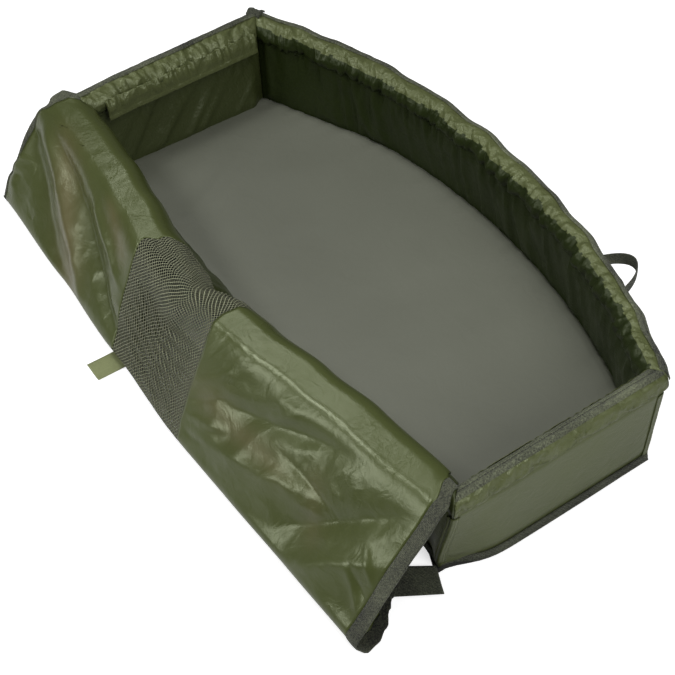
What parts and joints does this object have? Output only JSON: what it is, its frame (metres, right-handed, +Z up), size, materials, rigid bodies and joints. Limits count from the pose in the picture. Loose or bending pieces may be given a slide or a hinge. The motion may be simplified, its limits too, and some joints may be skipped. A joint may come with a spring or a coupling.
{
  "type": "unhooking mat",
  "caption": "Walled D-shaped unhooking mat with padded rims, carry handles, inner flaps and a folding cover with a mesh strip thrown back over its rear wall.",
  "frame": {"origin": "on the ground under the base, midway between the end walls and midway along them", "axes": "+X along the straight rear wall towards its right end, +Y from the rear wall to the curved front wall, +Z up"},
  "size_m": [1.055, 0.6706, 0.196],
  "materials": {
    "shell_nylon": "coated olive nylon",
    "cover_nylon": "thin shiny olive nylon",
    "light_nylon": "light olive nylon, gathered",
    "floor_vinyl": "smooth grey coated cloth",
    "webbing": "woven dark webbing",
    "drain_mesh": "fine open mesh",
    "core_foam": "closed-cell foam board",
    "base_cloth": "dark coated base cloth"
  },
  "bodies": {
    "mat": {"base_underside": "base_cloth", "base_foam_pad": "core_foam", "floor_panel": "floor_vinyl", "base_edge_binding": "webbing", "rear_wall_core": "core_foam", "rear_wall_lining": "shell_nylon", "rear_wall_outer": "shell_nylon", "rear_wall_rim": "light_nylon", "right_wall_core": "core_foam", "right_wall_lining": "shell_nylon", "right_wall_outer": "shell_nylon", "right_wall_rim": "light_nylon", "right_rim_tape": "webbing", "front_wall_core": "core_foam", "front_wall_lining": "shell_nylon", "front_wall_outer": "shell_nylon", "front_wall_rim": "light_nylon", "front_rim_tape": "webbing", "left_wall_core": "core_foam", "left_wall_lining": "shell_nylon", "left_wall_outer": "shell_nylon", "left_wall_rim": "light_nylon", "left_rim_tape": "webbing", "rim_tape_knot": "webbing", "corner_strip_rear_right": "shell_nylon", "corner_strip_right_front": "shell_nylon", "corner_strip_front_left": "shell_nylon", "corner_strip_left_rear": "shell_nylon", "front_handle_backing_right": "webbing", "front_handle_backing_left": "webbing", "rear_handle_backing_right": "webbing", "rear_handle_backing_left": "webbing", "cover_hem_left": "cover_nylon", "cover_hem_mesh": "drain_mesh", "cover_hem_right": "cover_nylon"},
    "cover_upper": {"cover_upper_left": "cover_nylon", "cover_upper_mesh": "drain_mesh", "cover_upper_right": "cover_nylon", "cover_upper_binding_left": "webbing", "cover_upper_binding_right": "webbing"},
    "cover_lower": {"cover_lower_left": "cover_nylon", "cover_lower_mesh": "drain_mesh", "cover_lower_right": "cover_nylon", "cover_lower_binding_left": "webbing", "cover_lower_binding_right": "webbing", "cover_corner_tab_left": "webbing", "cover_corner_tab_right": "webbing"},
    "cover_lip": {"cover_lip_left": "cover_nylon", "cover_lip_mesh": "drain_mesh", "cover_lip_right": "cover_nylon", "cover_lip_binding": "webbing", "cover_pull_tab": "light_nylon"},
    "flap_right": {"inner_flap_right": "light_nylon"},
    "flap_left": {"inner_flap_left": "light_nylon"},
    "handle_front_right": {"front_handle_right": "webbing"},
    "handle_front_left": {"front_handle_left": "webbing"},
    "handle_rear_right": {"rear_handle_right": "webbing"},
    "handle_rear_left": {"rear_handle_left": "webbing"}
  },
  "joints": [
    {"name": "cover_hinge", "type": "hinge", "parent": "mat", "child": "cover_upper", "pos_m": [0, -0.199, 0.196], "axis": [-1, 0, 0], "range_deg": [0, 229.4]},
    {"name": "cover_fold", "type": "hinge", "parent": "cover_upper", "child": "cover_lower", "pos_m": [0, -0.32863, 0.016], "axis": [-0.9987, 0.05, 0], "range_deg": [0, 124.8]},
    {"name": "cover_lip_fold", "type": "hinge", "parent": "cover_lower", "child": "cover_lip", "pos_m": [0, -0.222, 0.0023], "axis": [1, 0, 0], "range_deg": [0, 174]},
    {"name": "flap_right_lift", "type": "hinge", "parent": "mat", "child": "flap_right", "pos_m": [0.4554, 0, 0.17479], "axis": [0, 1, 0], "range_deg": [0, 100]},
    {"name": "flap_left_lift", "type": "hinge", "parent": "mat", "child": "flap_left", "pos_m": [-0.4554, 0, 0.17479], "axis": [0, -1, 0], "range_deg": [0, 100]},
    {"name": "handle_front_right_lift", "type": "hinge", "parent": "mat", "child": "handle_front_right", "pos_m": [0.27155, 0.25075, 0.1382], "axis": [0.9697, -0.2443, 0], "range_deg": [0, 38]},
    {"name": "handle_front_left_lift", "type": "hinge", "parent": "mat", "child": "handle_front_left", "pos_m": [-0.27155, 0.25075, 0.1382], "axis": [0.9697, 0.2443, 0], "range_deg": [0, 38]},
    {"name": "handle_rear_right_lift", "type": "hinge", "parent": "mat", "child": "handle_rear_right", "pos_m": [0.272, -0.17443, 0.1382], "axis": [-1, 0, 0], "range_deg": [0, 38]},
    {"name": "handle_rear_left_lift", "type": "hinge", "parent": "mat", "child": "handle_rear_left", "pos_m": [-0.272, -0.17443, 0.1382], "axis": [-1, 0, 0], "range_deg": [0, 38]}
  ]
}
